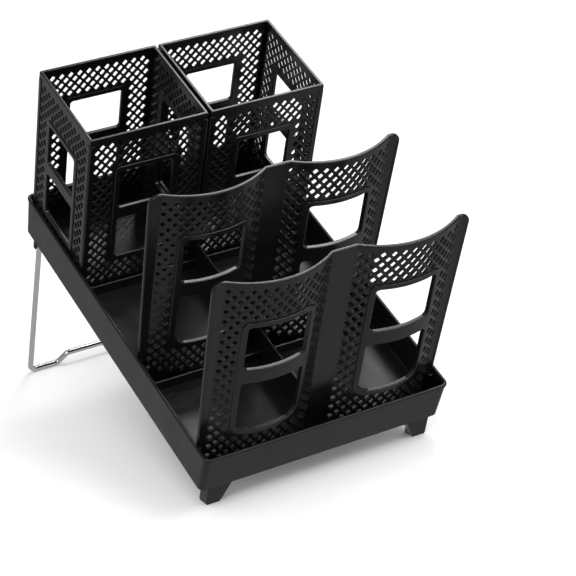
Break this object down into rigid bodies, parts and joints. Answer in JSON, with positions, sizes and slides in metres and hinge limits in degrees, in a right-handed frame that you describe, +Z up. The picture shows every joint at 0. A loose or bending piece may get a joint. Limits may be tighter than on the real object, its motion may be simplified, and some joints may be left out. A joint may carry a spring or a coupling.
{
  "type": "coffee station organizer",
  "caption": "Sloped black countertop organizer tray with front feet and a folding wire stand, holding lift-out lattice bins and curved lattice dividers.",
  "frame": {"origin": "on the ground, under the middle of the object's overall box", "axes": "+X across the width to the user's right, +Y from the low front with the feet to the high back with the wire stand, +Z up"},
  "size_m": [0.22, 0.4359, 0.3089],
  "materials": {
    "tray_plastic": "satin moulded",
    "bin_plastic": "satin moulded",
    "divider_plastic": "satin moulded",
    "foot_rubber": "matt",
    "stand_wire": "bright plated"
  },
  "bodies": {
    "base": {"tray": "tray_plastic", "foot_pad_left": "foot_rubber", "foot_pad_right": "foot_rubber"},
    "left_bin": {"bin_left": "bin_plastic"},
    "right_bin": {"bin_right": "bin_plastic"},
    "front_divider": {"divider_front": "divider_plastic"},
    "back_divider": {"divider_rear": "divider_plastic"},
    "stand": {"wire_stand": "stand_wire"}
  },
  "joints": [
    {"name": "stand_fold", "type": "hinge", "parent": "base", "child": "stand", "pos_m": [0, 0.14643, 0.1413], "axis": [-1, 0, 0], "range_deg": [0, 92]},
    {"name": "bin_left_lift", "type": "slide", "parent": "base", "child": "left_bin", "axis": [0, -0.4131, 0.9107], "range_m": [0, 0.08]},
    {"name": "bin_right_lift", "type": "slide", "parent": "base", "child": "right_bin", "axis": [0, -0.4131, 0.9107], "range_m": [0, 0.08]},
    {"name": "divider_front_lift", "type": "slide", "parent": "base", "child": "front_divider", "axis": [0, -0.4131, 0.9107], "range_m": [0, 0.08]},
    {"name": "divider_rear_lift", "type": "slide", "parent": "base", "child": "back_divider", "axis": [0, -0.4131, 0.9107], "range_m": [0, 0.08]}
  ]
}
